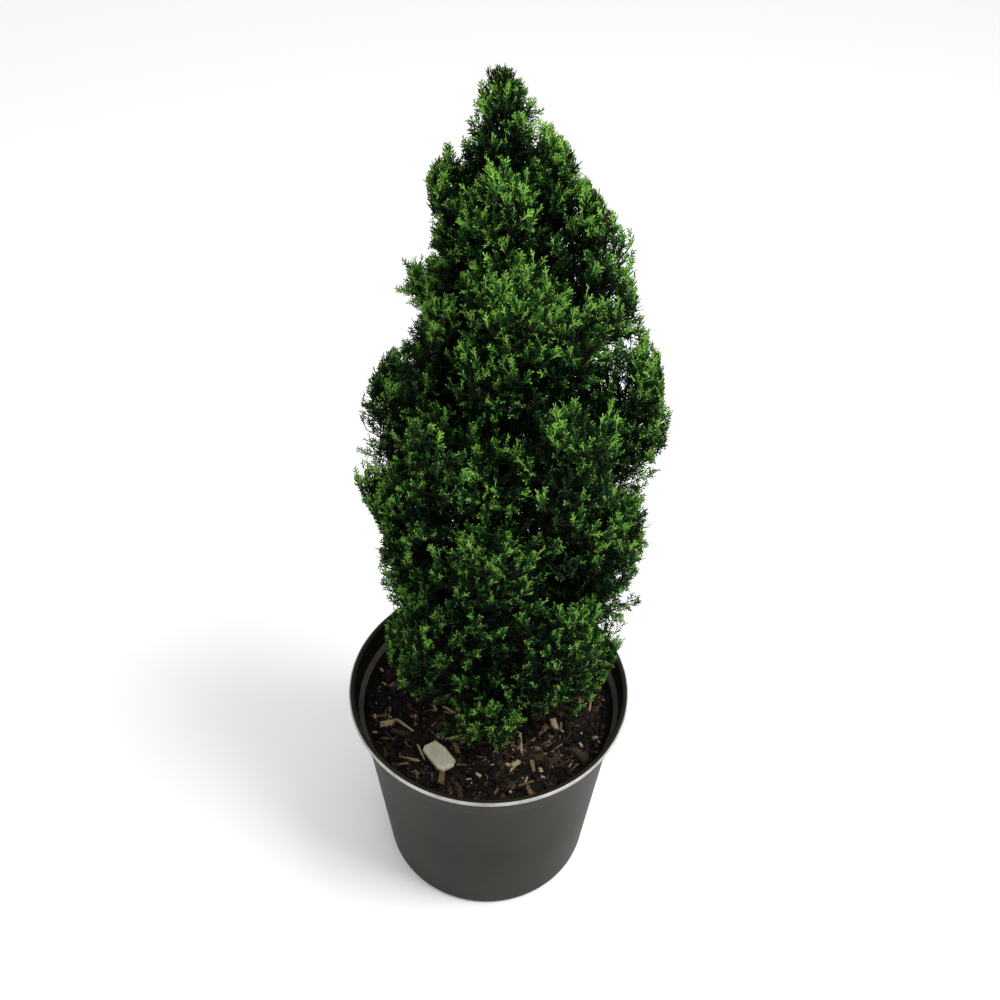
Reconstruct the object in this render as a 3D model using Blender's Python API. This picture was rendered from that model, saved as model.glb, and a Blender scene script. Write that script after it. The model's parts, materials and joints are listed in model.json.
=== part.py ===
# Potted lawson cypress: a pillar-shaped dwarf conifer in a round nursery pot.
# Sizes are in metres, +Z is up, and the origin is the centre of the pot's flat underside.
# The photograph looks along +Y and down, with +X to the right.

import math
import random

import bmesh
import bpy
import numpy as np
from mathutils import Matrix, Vector

# Gap kept between pieces that touch
GAP = 0.0003

# Pot: a thin moulded shell with a collar band under a flat lip
POT_HEIGHT = 0.239
RIM_RADIUS = 0.140
LIP_WIDTH = 0.0050
LIP_THICKNESS = 0.0045
COLLAR_HEIGHT = 0.0265
COLLAR_RADIUS = 0.1335
COLLAR_STEP = 0.0048
FOOT_RADIUS = 0.1092
FOOT_ROUND = 0.0055
WALL_THICKNESS = 0.0017
BASE_THICKNESS = 0.0035
POT_SEGMENTS = 48
DRAIN_HOLES = 8
DRAIN_RADIUS = 0.006
DRAIN_CIRCLE = 0.080

# Compost, filled to a little under the collar's step, with one pale chip of wood lying on it
COMPOST_TOP = 0.203
COMPOST_LEVEL_RADIUS = 0.050
COMPOST_UNEVENNESS = 0.0022
CHIP_CENTRE = Vector((-0.047, -0.067))
CHIP_LENGTH = 0.038
CHIP_WIDTH = 0.021
CHIP_THICKNESS = 0.007
CHIP_TURN = math.radians(-52)

# Trunk
TRUNK_FOOT = Vector((0.014, 0.004))
TRUNK_TOP = Vector((0.004, 0.000, 0.742))
TRUNK_BOW = 0.010
FLARE_RADIUS = 0.0150
FLARE_HEIGHT = 0.022
TRUNK_RADIUS = 0.0095
TRUNK_TOP_RADIUS = 0.0016
TRUNK_RINGS = 12
TRUNK_SIDES = 10

# Outline of the crown: how far it reaches to the left and to the right of the pot's axis,
# as pairs of height and reach
LEFT_REACH = (
    (0.205, 0.050), (0.25, 0.082), (0.30, 0.093), (0.45, 0.097), (0.49, 0.093), (0.54, 0.111),
    (0.58, 0.102), (0.61, 0.091), (0.645, 0.077), (0.67, 0.058), (0.72, 0.044), (0.783, 0.042),
    (0.816, 0.020), (0.856, 0.001),
)
RIGHT_REACH = (
    (0.205, 0.065), (0.25, 0.098), (0.30, 0.112), (0.39, 0.140), (0.48, 0.132), (0.51, 0.117),
    (0.54, 0.134), (0.586, 0.136), (0.65, 0.117), (0.70, 0.096), (0.735, 0.093), (0.77, 0.062),
    (0.815, 0.034), (0.856, 0.003),
)
CROWN_TIP = Vector((0.002, 0.0, 0.856))

# Plumes of foliage in tiers. Each tier: name, number of plumes, height of their feet and tips,
# how much higher the tips stand on the right than on the left, turn of the first plume in
# degrees, distance of the feet from the trunk, and half width.
TIERS = (
    ("skirt", 5, 0.226, 0.300, 0.010, -90, 0.0, 0.052),
    ("low", 5, 0.282, 0.410, 0.000, -54, 0.050, 0.060),
    ("middle", 6, 0.370, 0.515, 0.000, -92, 0.054, 0.054),
    ("high", 6, 0.465, 0.612, 0.010, -62, 0.052, 0.052),
    ("shoulder", 5, 0.565, 0.715, 0.085, -72, 0.034, 0.050),
    ("crest", 4, 0.655, 0.788, 0.020, -90, 0.0, 0.040),
)
FOOT_LIFT = 0.012
TIP_INSET = 0.002
BOUGH_DROP = 0.042
BOUGH_STAGGER = 0.007
BOUGH_SIDES = 5
BOUGH_RINGS = 4
BOUGH_SHARE = 0.46
BOUGH_TIP_RADIUS = 0.0019
LIMB_CLEARANCE = 0.0015

# The thin spray that stands apart on the left, with sky round it
SIDE_FOOT = Vector((-0.032, -0.004, 0.655))
SIDE_TIP = Vector((-0.066, -0.006, 0.714))
SIDE_WIDTH = 0.030

# Parts of a plume: a smaller core round the stem, twigs, and toothed sprays that stand out
CORE_SHARE = 0.88
CORE_SIDES = 7
CORE_STATIONS = (0.10, 0.34, 0.60, 0.82)
CORE_ENDS = (0.0, 0.93)
CORE_INSET = 0.009
TWIG_TURN = math.radians(137.5)
TWIG_RADIUS = 0.0015
SPRAYS = 18
TWIG_EVERY = 4
SPRAY_LENGTH = 0.046
SPRAY_WIDTH = 0.68
SPRAY_THICKNESS = 0.0032
TIP_SPRAY_LENGTH = 0.046
OUTLINE_PLAY = 0.012

FOLIAGE_SEED = 500

# Outlines of a spray as pairs of share of its length and share of its width, on one side
THREE_TEETH = ((0.56, 0.50), (0.66, 0.17))
FIVE_TEETH = ((0.38, 0.46), (0.47, 0.19), (0.73, 0.40), (0.77, 0.14))


def clear_scene():
    """Take every object out of the scene, so that the script starts from nothing."""
    for thing in list(bpy.data.objects):
        bpy.data.objects.remove(thing, do_unlink=True)


def finish(name, colour, roughness):
    """A plain Principled material in the colour of one sub-part."""
    material = bpy.data.materials.new(name)
    material.use_nodes = True
    shader = material.node_tree.nodes["Principled BSDF"]
    shader.inputs["Base Color"].default_value = (*colour, 1.0)
    shader.inputs["Roughness"].default_value = roughness
    shader.inputs["Metallic"].default_value = 0.0
    return material


def add_object(name, points, faces, material):
    """A mesh object from points and faces, with its faces turned outwards."""
    mesh = bpy.data.meshes.new(name)
    mesh.from_pydata([tuple(point) for point in points], [], faces)
    shape = bmesh.new()
    shape.from_mesh(mesh)
    bmesh.ops.recalc_face_normals(shape, faces=shape.faces)
    shape.to_mesh(mesh)
    shape.free()
    mesh.materials.append(material)
    thing = bpy.data.objects.new(name, mesh)
    bpy.context.scene.collection.objects.link(thing)
    return thing


def shade_round(thing, angle=40):
    """Shade a round piece smooth, and keep its real edges sharp."""
    thing.data.shade_smooth()
    thing.data.set_sharp_from_angle(angle=math.radians(angle))


def turned(profile, segments):
    """Points and faces of a closed shape turned about +Z from a profile of radius and height.

    The profile starts and ends on the axis."""
    points = [(0.0, 0.0, profile[0][1])]
    for radius, height in profile[1:-1]:
        for step in range(segments):
            turn = math.tau * step / segments
            points.append((radius * math.cos(turn), radius * math.sin(turn), height))
    points.append((0.0, 0.0, profile[-1][1]))
    rings = len(profile) - 2
    faces = [[1 + step for step in range(segments)]]
    for ring in range(rings - 1):
        for step in range(segments):
            low = 1 + ring * segments
            after = (step + 1) % segments
            faces.append([low + step, low + after, low + segments + after, low + segments + step])
    faces.append([1 + (rings - 1) * segments + step for step in range(segments)])
    used = points[1:-1]
    faces = [[corner - 1 for corner in face] for face in faces]
    return used, faces


def frame_about(along):
    """Two unit directions square to a direction and to each other."""
    helper = Vector((0.0, 0.0, 1.0)) if abs(along.z) < 0.9 else Vector((1.0, 0.0, 0.0))
    first = along.cross(helper).normalized()
    return first, along.cross(first).normalized()


def tube(path, radii, sides):
    """Points and faces of a limb: rings round a path, closed by a flat face at each end."""
    points = []
    for number, centre in enumerate(path):
        before = path[max(number - 1, 0)]
        after = path[min(number + 1, len(path) - 1)]
        first, second = frame_about((after - before).normalized())
        for side in range(sides):
            turn = math.tau * side / sides
            spoke = first * math.cos(turn) + second * math.sin(turn)
            points.append(centre + spoke * radii[number])
    faces = [list(range(sides))]
    for ring in range(len(path) - 1):
        for side in range(sides):
            low = ring * sides
            after = (side + 1) % sides
            faces.append([low + side, low + after, low + sides + after, low + sides + side])
    last = (len(path) - 1) * sides
    faces.append([last + side for side in range(sides)])
    return points, faces


# Pot

def inner_wall_radius(height):
    """Radius of the pot's inner face under the collar."""
    low = BASE_THICKNESS + FOOT_ROUND
    high = POT_HEIGHT - COLLAR_HEIGHT
    share = (height - low) / (high - low)
    bottom = FOOT_RADIUS - WALL_THICKNESS
    top = COLLAR_RADIUS - COLLAR_STEP - WALL_THICKNESS
    return bottom + (top - bottom) * share


def make_pot():
    """The shell, turned from one profile, with a ring of drainage holes through its base."""
    collar_foot = POT_HEIGHT - COLLAR_HEIGHT
    collar_top = COLLAR_RADIUS + 0.0023
    lip_foot = POT_HEIGHT - LIP_THICKNESS
    edge = LIP_THICKNESS / 3
    wall_top = COLLAR_RADIUS - COLLAR_STEP
    outside = [
        (0.0, 0.0),
        (FOOT_RADIUS - FOOT_ROUND, 0.0),
        (FOOT_RADIUS - FOOT_ROUND * 0.35, FOOT_ROUND * 0.30),
        (FOOT_RADIUS, FOOT_ROUND),
        (wall_top, collar_foot - 0.0035),
        (COLLAR_RADIUS, collar_foot),
        (collar_top, lip_foot - 0.0010),
        (RIM_RADIUS - edge / 2, lip_foot),
        (RIM_RADIUS, lip_foot + edge),
        (RIM_RADIUS, POT_HEIGHT - edge),
        (RIM_RADIUS - edge, POT_HEIGHT),
    ]
    inside = [
        (RIM_RADIUS - LIP_WIDTH, POT_HEIGHT),
        (collar_top - WALL_THICKNESS, POT_HEIGHT - edge),
        (COLLAR_RADIUS - WALL_THICKNESS, collar_foot + 0.0042),
        (wall_top - WALL_THICKNESS, collar_foot),
        (FOOT_RADIUS - WALL_THICKNESS, BASE_THICKNESS + FOOT_ROUND),
        (FOOT_RADIUS - FOOT_ROUND, BASE_THICKNESS),
        (0.0, BASE_THICKNESS),
    ]
    points, faces = turned(outside + inside, POT_SEGMENTS)
    pot = add_object("pot", points, faces, finish("taupe_plastic", (0.040, 0.036, 0.030), 0.38))

    cutter_points, cutter_faces = [], []
    for number in range(DRAIN_HOLES):
        turn = math.tau * (number + 0.5) / DRAIN_HOLES
        centre = Vector((DRAIN_CIRCLE * math.cos(turn), DRAIN_CIRCLE * math.sin(turn), 0.0))
        path = [centre + Vector((0, 0, -0.004)), centre + Vector((0, 0, BASE_THICKNESS + 0.004))]
        points, faces = tube(path, [DRAIN_RADIUS, DRAIN_RADIUS], 10)
        start = len(cutter_points)
        cutter_points += points
        cutter_faces += [[start + corner for corner in face] for face in faces]
    cutter = add_object("drain_cutter", cutter_points, cutter_faces, pot.data.materials[0])
    cutter.hide_render = True
    cutter.display_type = "WIRE"
    holes = pot.modifiers.new("drainage holes", "BOOLEAN")
    holes.operation = "DIFFERENCE"
    holes.solver = "EXACT"
    holes.object = cutter
    shade_round(pot)
    return pot


# Compost and the chip on it

def compost_height(x, y):
    """Height of the compost: level round the trunk, and a little uneven further out."""
    away = math.hypot(x, y)
    share = min(max((away - COMPOST_LEVEL_RADIUS) / 0.03, 0.0), 1.0)
    waves = math.sin(61 * x + 2.0) * math.cos(53 * y - 0.7) + 0.5 * math.sin(97 * x - 71 * y)
    return COMPOST_TOP + COMPOST_UNEVENNESS * share * waves / 1.5


def make_compost():
    """One fill inside the pot, its sides parallel to the wall and just clear of it."""
    foot = BASE_THICKNESS + GAP
    shoulder = BASE_THICKNESS + FOOT_ROUND
    rim = inner_wall_radius(COMPOST_TOP) - 1.3 * GAP
    profile = [
        (0.0, foot),
        (FOOT_RADIUS - FOOT_ROUND - 2 * GAP, foot),
        (inner_wall_radius(shoulder) - 1.3 * GAP, shoulder + GAP),
        (inner_wall_radius(COMPOST_TOP - 0.004) - 1.3 * GAP, COMPOST_TOP - 0.004),
    ]
    for share in (0.99, 0.86, 0.70, 0.52):
        profile.append((rim * share, COMPOST_TOP))
    profile.append((0.0, COMPOST_TOP))
    points, faces = turned(profile, POT_SEGMENTS)
    shaped = []
    for x, y, z in points:
        shaped.append((x, y, compost_height(x, y) if z > COMPOST_TOP - 0.001 else z))
    return add_object("compost", shaped, faces, finish("dark_compost", (0.022, 0.016, 0.012), 0.92))


def make_chip():
    """A pale split chip of wood: a rough six-sided slab with a bevelled upper edge."""
    outline = ((-0.50, -0.20), (-0.34, -0.50), (0.30, -0.46), (0.50, -0.05), (0.36, 0.46), (-0.36, 0.40))
    turn = Matrix.Rotation(CHIP_TURN, 2)
    footprint = [turn @ Vector((a * CHIP_LENGTH, b * CHIP_WIDTH)) + CHIP_CENTRE for a, b in outline]
    ground = max(compost_height(spot.x, spot.y) for spot in footprint + [CHIP_CENTRE]) + 3 * GAP
    points = []
    for shrink, rise in ((0.92, 0.0), (1.0, 0.35), (0.96, 0.75), (0.72, 1.0)):
        for number, spot in enumerate(footprint):
            flat = CHIP_CENTRE + (spot - CHIP_CENTRE) * shrink
            lump = 0.9 + 0.1 * math.cos(2.1 * number)
            points.append((flat.x, flat.y, ground + rise * lump * CHIP_THICKNESS))
    count = len(outline)
    faces = [list(range(count))]
    for ring in range(3):
        for side in range(count):
            low = ring * count
            after = (side + 1) % count
            faces.append([low + side, low + after, low + count + after, low + count + side])
    faces.append([3 * count + side for side in range(count)])
    return add_object("pale_chip", points, faces, finish("pale_wood", (0.62, 0.55, 0.42), 0.8))


# Trunk and boughs

def trunk_axis(height):
    """Middle of the trunk at a height: a slight bow from its foot to its top."""
    share = (height - COMPOST_TOP) / (TRUNK_TOP.z - COMPOST_TOP)
    bow = TRUNK_BOW * math.sin(math.pi * min(max(share, 0.0), 1.0))
    x = TRUNK_FOOT.x + (TRUNK_TOP.x - TRUNK_FOOT.x) * share + bow
    y = TRUNK_FOOT.y + (TRUNK_TOP.y - TRUNK_FOOT.y) * share
    return Vector((x, y, height))


def trunk_radius(height):
    """Radius of the trunk at a height: the root flare, then a long taper."""
    above = max(height - COMPOST_TOP, 0.0)
    share = min(above / (TRUNK_TOP.z - COMPOST_TOP), 1.0)
    taper = TRUNK_RADIUS + (TRUNK_TOP_RADIUS - TRUNK_RADIUS) * share ** 0.9
    flare = (FLARE_RADIUS - TRUNK_RADIUS) * math.exp(-above / FLARE_HEIGHT * 2.0)
    return taper + flare


def trunk_heights():
    """Heights of the trunk's rings, closer together in the root flare."""
    foot = COMPOST_TOP + GAP
    near = [foot, foot + FLARE_HEIGHT * 0.35, foot + FLARE_HEIGHT]
    far = np.linspace(foot + 2.5 * FLARE_HEIGHT, TRUNK_TOP.z, TRUNK_RINGS - len(near))
    return near + [float(height) for height in far]


def make_trunk():
    """The whole trunk, cut flat where it leaves the compost."""
    heights = trunk_heights()
    points = []
    for height in heights:
        centre = trunk_axis(height)
        for side in range(TRUNK_SIDES):
            turn = math.tau * side / TRUNK_SIDES
            ridge = 1.0 + 0.10 * math.cos(3 * turn) * math.exp(-(height - COMPOST_TOP) / 0.03)
            spoke = Vector((math.cos(turn), math.sin(turn), 0.0)) * trunk_radius(height) * ridge
            points.append(centre + spoke)
    faces = [list(range(TRUNK_SIDES))]
    for ring in range(len(heights) - 1):
        for side in range(TRUNK_SIDES):
            low = ring * TRUNK_SIDES
            after = (side + 1) % TRUNK_SIDES
            faces.append([low + side, low + after, low + TRUNK_SIDES + after, low + TRUNK_SIDES + side])
    faces.append([(len(heights) - 1) * TRUNK_SIDES + side for side in range(TRUNK_SIDES)])
    trunk = add_object("trunk", points, faces, finish("brown_bark", (0.115, 0.062, 0.035), 0.85))
    shade_round(trunk)
    return trunk


def trunk_face(height, outward):
    """Level, along an outward direction, of a flat face just clear of the trunk near a height."""
    near = [height + step for step in (-0.012, -0.006, 0.0, 0.006, 0.012)]
    return max(outward.dot(trunk_axis(here)) + 1.07 * trunk_radius(here) for here in near) + GAP


def slide_to_plane(points, along, normal, level):
    """Slide points along a limb until they lie on a plane, as when its end is cut to a face."""
    return [point + along * ((level - normal.dot(point)) / normal.dot(along)) for point in points]


def bough_path(plume):
    """Middle line of a bough, from the trunk's face up and out to the foot of its plume."""
    foot, along = plume["foot"], plume["along"]
    start_height = foot.z - BOUGH_DROP + BOUGH_STAGGER * plume["stagger"]
    root = trunk_axis(start_height)
    outward = Vector((foot.x - root.x, foot.y - root.y, 0.0)).normalized()
    root = root + outward * (trunk_face(start_height, outward) - outward.dot(root))
    pull = (foot - root).length * 0.45
    controls = (root, root + (outward + Vector((0, 0, 0.55))).normalized() * pull, foot - along * pull, foot)
    path = []
    for step in range(BOUGH_RINGS):
        t = step / (BOUGH_RINGS - 1)
        weights = ((1 - t) ** 3, 3 * t * (1 - t) ** 2, 3 * t * t * (1 - t), t ** 3)
        path.append(sum((weight * point for weight, point in zip(weights, controls)), Vector()))
    path[-1] = foot - along * GAP / 2
    return path, outward


def make_bough(plume, material):
    """One tapering limb, its root cut to the trunk's face and its tip just short of the plume."""
    path, outward = bough_path(plume)
    root_radius = BOUGH_SHARE * trunk_radius(path[0].z)
    radii = np.linspace(root_radius, min(root_radius, BOUGH_TIP_RADIUS), BOUGH_RINGS)
    points, faces = tube(path, radii, BOUGH_SIDES)
    along = (path[1] - path[0]).normalized()
    points[:BOUGH_SIDES] = slide_to_plane(points[:BOUGH_SIDES], along, outward, outward.dot(path[0]))
    return add_object(plume["bough"], points, faces, material)


# Plan of the crown

def reach(height, turn):
    """How far the crown's outline stands from the pot's axis at a height and a turn about it."""
    heights, left = zip(*LEFT_REACH)
    left_side = np.interp(height, heights, left)
    heights, right = zip(*RIGHT_REACH)
    right_side = np.interp(height, heights, right)
    return float(left_side + (right_side - left_side) * (0.5 + 0.5 * math.cos(turn)))


def add_plume(plumes, name, foot, tip, width, bough=None, dense=True, stagger=0):
    """Note one plume, its stem running straight from its foot to its tip."""
    along = (tip - foot).normalized()
    length = (tip - foot).length
    plumes.append({"name": "foliage_" + name, "foot": foot, "tip": tip, "along": along,
                   "length": length, "width": width, "bough": bough, "dense": dense,
                   "stagger": stagger})


def plan_plumes():
    """Every plume of the crown, tier by tier, then the leader and the thin side spray."""
    plumes = []
    rng = random.Random(11)
    for name, count, foot_height, tip_height, lift, first_turn, foot_distance, width in TIERS:
        for number in range(count):
            turn = math.radians(first_turn) + math.tau * number / count
            turn_here = turn + rng.uniform(-0.10, 0.10)
            tip_z = tip_height + 0.5 * lift * math.cos(turn_here) + rng.uniform(-0.010, 0.010)
            foot_z = foot_height + rng.uniform(-FOOT_LIFT, FOOT_LIFT) / 2
            away = Vector((math.cos(turn_here), math.sin(turn_here), 0.0))
            tip = away * (reach(tip_z, turn_here) - TIP_INSET) + Vector((0, 0, tip_z))
            foot = trunk_axis(foot_z)
            outward = Vector((tip.x - foot.x, tip.y - foot.y, 0.0)).normalized()
            bough = None
            if foot_distance:
                foot = foot + outward * foot_distance
                bough = "bough_%s_%d" % (name, number + 1)
            else:
                foot = foot + outward * (trunk_face(foot_z, outward) - outward.dot(foot))
            stagger = 1 - 2 * (number % 2)
            add_plume(plumes, "%s_%d" % (name, number + 1), foot, tip, width, bough, stagger=stagger)
    add_plume(plumes, "leader", TRUNK_TOP + Vector((0, 0, GAP)), CROWN_TIP, 0.030)
    add_plume(plumes, "side_spray", SIDE_FOOT, SIDE_TIP, SIDE_WIDTH, "bough_side", dense=False)
    return plumes


def closest_points(a0, a1, b0, b1):
    """The two points of two straight stretches that lie nearest each other."""
    first, second, between = a1 - a0, b1 - b0, a0 - b0
    a, e, f = first.dot(first), second.dot(second), second.dot(between)
    b, c = first.dot(second), first.dot(between)
    spread = a * e - b * b
    s = min(max((b * f - c * e) / spread, 0.0), 1.0) if spread > 1e-12 else 0.0
    t = (b * s + f) / e
    if t < 0.0:
        t, s = 0.0, min(max(-c / a, 0.0), 1.0)
    elif t > 1.0:
        t, s = 1.0, min(max((b - c) / a, 0.0), 1.0)
    return a0 + first * s, b0 + second * t


def give_space(plumes):
    """Give each plume its own space: flat walls half way to its neighbours and clear of limbs."""
    limbs = []
    heights = trunk_heights()
    for low, high in zip(heights[:-1], heights[1:]):
        limbs.append(("trunk", trunk_axis(low), trunk_axis(high), trunk_radius(low) * 1.05))
    for plume in plumes:
        if plume["bough"]:
            path, _ = bough_path(plume)
            for low, high in zip(path[:-1], path[1:]):
                radius = BOUGH_SHARE * trunk_radius(path[0].z) + LIMB_CLEARANCE
                limbs.append((plume["bough"], low, high, radius))
    for plume in plumes:
        walls = []
        for other in plumes:
            if other is plume:
                continue
            here, there = closest_points(plume["foot"], plume["tip"], other["foot"], other["tip"])
            share = plume["width"] / (plume["width"] + other["width"])
            normal = (there - here).normalized()
            walls.append((normal, normal.dot(here + (there - here) * share) - GAP / 2))
        for name, low, high, radius in limbs:
            if name == plume["bough"] or (name == "trunk" and plume["name"] == "foliage_leader"):
                continue
            here, there = closest_points(plume["foot"], plume["tip"], low, high)
            normal = (there - here).normalized()
            walls.append((normal, normal.dot(there) - radius - GAP))
        if plume["bough"] or plume["name"] == "foliage_leader":
            back = -plume["along"]
            walls.append((back, back.dot(plume["foot"]) - GAP / 2))
        walls.append((Vector((0, 0, -1)), -COMPOST_TOP - 0.004))
        plume["walls"] = walls


def inside(plume, points):
    """Whether all points lie in the plume's space and in the outline of the crown."""
    for point in points:
        turn = math.atan2(point.y, point.x)
        if math.hypot(point.x, point.y) > reach(point.z, turn) + OUTLINE_PLAY:
            return False
        if point.z > CROWN_TIP.z + 1e-5:
            return False
        if any(normal.dot(point) > level for normal, level in plume["walls"]):
            return False
    return True


def room(plume, start, direction):
    """Distance from a point to the nearest wall of the plume's space, along a direction."""
    nearest = 1.0
    for normal, level in plume["walls"]:
        towards = normal.dot(direction)
        if towards > 1e-6:
            nearest = min(nearest, (level - normal.dot(start)) / towards)
    return max(nearest, 0.0)


# Foliage

def spray(root, along, across, length, width, teeth):
    """Points and faces of one flat spray: a toothed blade, thickest along its middle."""
    normal = along.cross(across).normalized()
    outline = [(0.0, 0.0)]
    outline += [(a, -b) for a, b in teeth]
    outline += [(1.0, 0.0)]
    outline += [(a, b) for a, b in reversed(teeth)]
    points = [root + along * a * length + across * b * width for a, b in outline]
    middle = root + along * 0.5 * length
    points += [middle + normal * SPRAY_THICKNESS / 2, middle - normal * SPRAY_THICKNESS / 2]
    count = len(outline)
    faces = []
    for corner in range(count):
        after = (corner + 1) % count
        faces.append([corner, after, count])
        faces.append([after, corner, count + 1])
    return points, faces


def core_of(plume, rng):
    """Points and faces of the plume's dense inside: a spindle round its stem, within its walls."""
    first, second = frame_about(plume["along"])
    points = [plume["foot"] + plume["along"] * (plume["length"] * CORE_ENDS[0] + GAP)]
    for share in CORE_STATIONS:
        centre = plume["foot"] + plume["along"] * plume["length"] * share
        girth = plume["width"] * CORE_SHARE * math.sin(math.pi * min(share + 0.10, 1.0)) ** 0.6
        for side in range(CORE_SIDES):
            turn = math.tau * (side + share * 3) / CORE_SIDES
            spoke = first * math.cos(turn) + second * math.sin(turn)
            size = min(girth * rng.uniform(0.88, 1.12), 0.90 * room(plume, centre, spoke))
            corner = centre + spoke * size
            limit = reach(corner.z, math.atan2(corner.y, corner.x)) - CORE_INSET
            beyond = math.hypot(corner.x, corner.y) - limit
            outward = math.hypot(spoke.x, spoke.y)
            if beyond > 0 and outward > 0.2:
                size = max(size - beyond / outward, 0.008)
            points.append(centre + spoke * size)
    points.append(plume["foot"] + plume["along"] * plume["length"] * CORE_ENDS[1])
    last = len(points) - 1
    faces = []
    for side in range(CORE_SIDES):
        after = (side + 1) % CORE_SIDES
        faces.append([0, 1 + after, 1 + side])
        for ring in range(len(CORE_STATIONS) - 1):
            low = 1 + ring * CORE_SIDES
            faces.append([low + side, low + after, low + CORE_SIDES + after, low + CORE_SIDES + side])
        high = 1 + (len(CORE_STATIONS) - 1) * CORE_SIDES
        faces.append([high + side, high + after, last])
    return points, faces


def stem_of(plume):
    """Points and faces of the stem, from the face of its bough or trunk nearly to the tip."""
    along = plume["along"]
    start = plume["foot"] + along * GAP / 2
    path = [start, plume["foot"] + along * plume["length"] * 0.5, plume["tip"] - along * 0.020]
    points, faces = tube(path, [BOUGH_TIP_RADIUS * 0.9, 0.0016, 0.0010], 3)
    if not plume["bough"] and plume["name"] != "foliage_leader":
        outward = Vector((along.x, along.y, 0.0)).normalized()
        points[:3] = slide_to_plane(points[:3], along, outward, trunk_face(plume["foot"].z, outward))
    return points, faces


def fitted_spray(plume, root, heading, flat, length, width, teeth):
    """The largest spray from a root that stays in the plume's space, or nothing."""
    for scale in (1.0, 0.88, 0.76, 0.64, 0.52):
        blade = spray(root, heading, flat, length * scale, width * scale, teeth)
        if inside(plume, blade[0]):
            return blade
    return None


def sprays_of(plume, rng):
    """A spray at the very tip, then sprays in a spiral up the stem, some of them on twigs."""
    parts = []
    along, length = plume["along"], plume["length"]
    first, second = frame_about(along)
    turn = rng.uniform(0, math.tau)
    across = first * math.cos(turn) + second * math.sin(turn)
    tip_length = min(TIP_SPRAY_LENGTH, length * 0.5)
    for scale in (1.0, 0.8, 0.6, 0.45):
        blade = spray(plume["tip"] - along * tip_length, along, across, tip_length,
                      tip_length * SPRAY_WIDTH * scale, FIVE_TEETH)
        if inside(plume, blade[0]):
            parts.append(blade)
            break
    for number in range(SPRAYS):
        share = 0.06 + 0.80 * (number + 0.5) / SPRAYS
        turn += TWIG_TURN
        spoke = first * math.cos(turn) + second * math.sin(turn)
        start = plume["foot"] + along * length * share
        heading = (spoke + along * (0.55 + 0.9 * share) + Vector((0, 0, 0.15))).normalized()
        size = SPRAY_LENGTH * rng.uniform(0.90, 1.10)
        sunk = plume["width"] * (0.46 if plume["dense"] else 0.22)
        flat = heading.cross(spoke + across * rng.uniform(-0.9, 0.9)).normalized()
        blade = fitted_spray(plume, start + heading * sunk, heading, flat, size,
                             size * SPRAY_WIDTH, THREE_TEETH)
        if blade is None:
            continue
        parts.append(blade)
        if number % TWIG_EVERY == 0 or not plume["dense"]:
            end = start + (blade[0][-1] + blade[0][-2] - start * 2) / 2
            parts.append(tube([start, end], [TWIG_RADIUS * 1.3, TWIG_RADIUS * 0.8], 3))
    return parts


def keep_largest(mesh):
    """Drop loose scraps and the walls of sealed hollows, and keep the one main body."""
    shape = bmesh.new()
    shape.from_mesh(mesh)
    left = set(shape.verts)
    bodies = []
    while left:
        body, queue = set(), [left.pop()]
        while queue:
            corner = queue.pop()
            body.add(corner)
            for edge in corner.link_edges:
                other = edge.other_vert(corner)
                if other in left:
                    left.remove(other)
                    queue.append(other)
        bodies.append(body)
    bodies.sort(key=len)
    scraps = [corner for body in bodies[:-1] for corner in body]
    bmesh.ops.delete(shape, geom=scraps, context="VERTS")
    bmesh.ops.triangulate(shape, faces=shape.faces)
    shape.to_mesh(mesh)
    shape.free()


def fuse(name, parts, material, solver):
    """Join overlapping parts into one body with one union on a collection."""
    group = bpy.data.collections.new(name + " parts")
    bpy.context.scene.collection.children.link(group)
    body = add_object(name, *parts[0], material)
    for points, faces in parts[1:]:
        piece = add_object(name + " part", points, faces, material)
        bpy.context.scene.collection.objects.unlink(piece)
        group.objects.link(piece)
    union = body.modifiers.new("union", "BOOLEAN")
    union.operation = "UNION"
    union.operand_type = "COLLECTION"
    union.collection = group
    union.solver = solver
    depsgraph = bpy.context.evaluated_depsgraph_get()
    joined = bpy.data.meshes.new_from_object(body.evaluated_get(depsgraph))
    body.modifiers.clear()
    body.data = joined
    for piece in list(group.objects):
        bpy.data.objects.remove(piece, do_unlink=True)
    bpy.data.collections.remove(group)
    keep_largest(joined)
    return body


def make_plume(plume, number, material):
    """One mass of foliage: stem, core, twigs and sprays, fused into one body."""
    rng = random.Random(FOLIAGE_SEED + number)
    parts = [stem_of(plume)]
    if plume["dense"]:
        parts.insert(0, core_of(plume, rng))
    parts += sprays_of(plume, rng)
    return fuse(plume["name"], parts, material, "EXACT")


def main():
    clear_scene()
    make_pot()
    make_compost()
    make_chip()
    make_trunk()
    plumes = plan_plumes()
    give_space(plumes)
    bark = finish("young_bark", (0.16, 0.085, 0.045), 0.8)
    for plume in plumes:
        if plume["bough"]:
            make_bough(plume, bark)
    for number, plume in enumerate(plumes):
        green = finish("green_" + plume["name"], (0.055, 0.16, 0.03), 0.6)
        make_plume(plume, number, green)


main()
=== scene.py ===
# %% [markdown]
# A pillar-shaped lawson cypress in a nursery pot. The imported solids come in first as a fixed
# frame, in metres with +Z up. Each visible piece below is then modelled in its place and hides
# the solids it stands for.

import json
import math
import random
from collections import namedtuple

import bpy
import numpy as np
from mathutils import Matrix, Vector, noise

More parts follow.
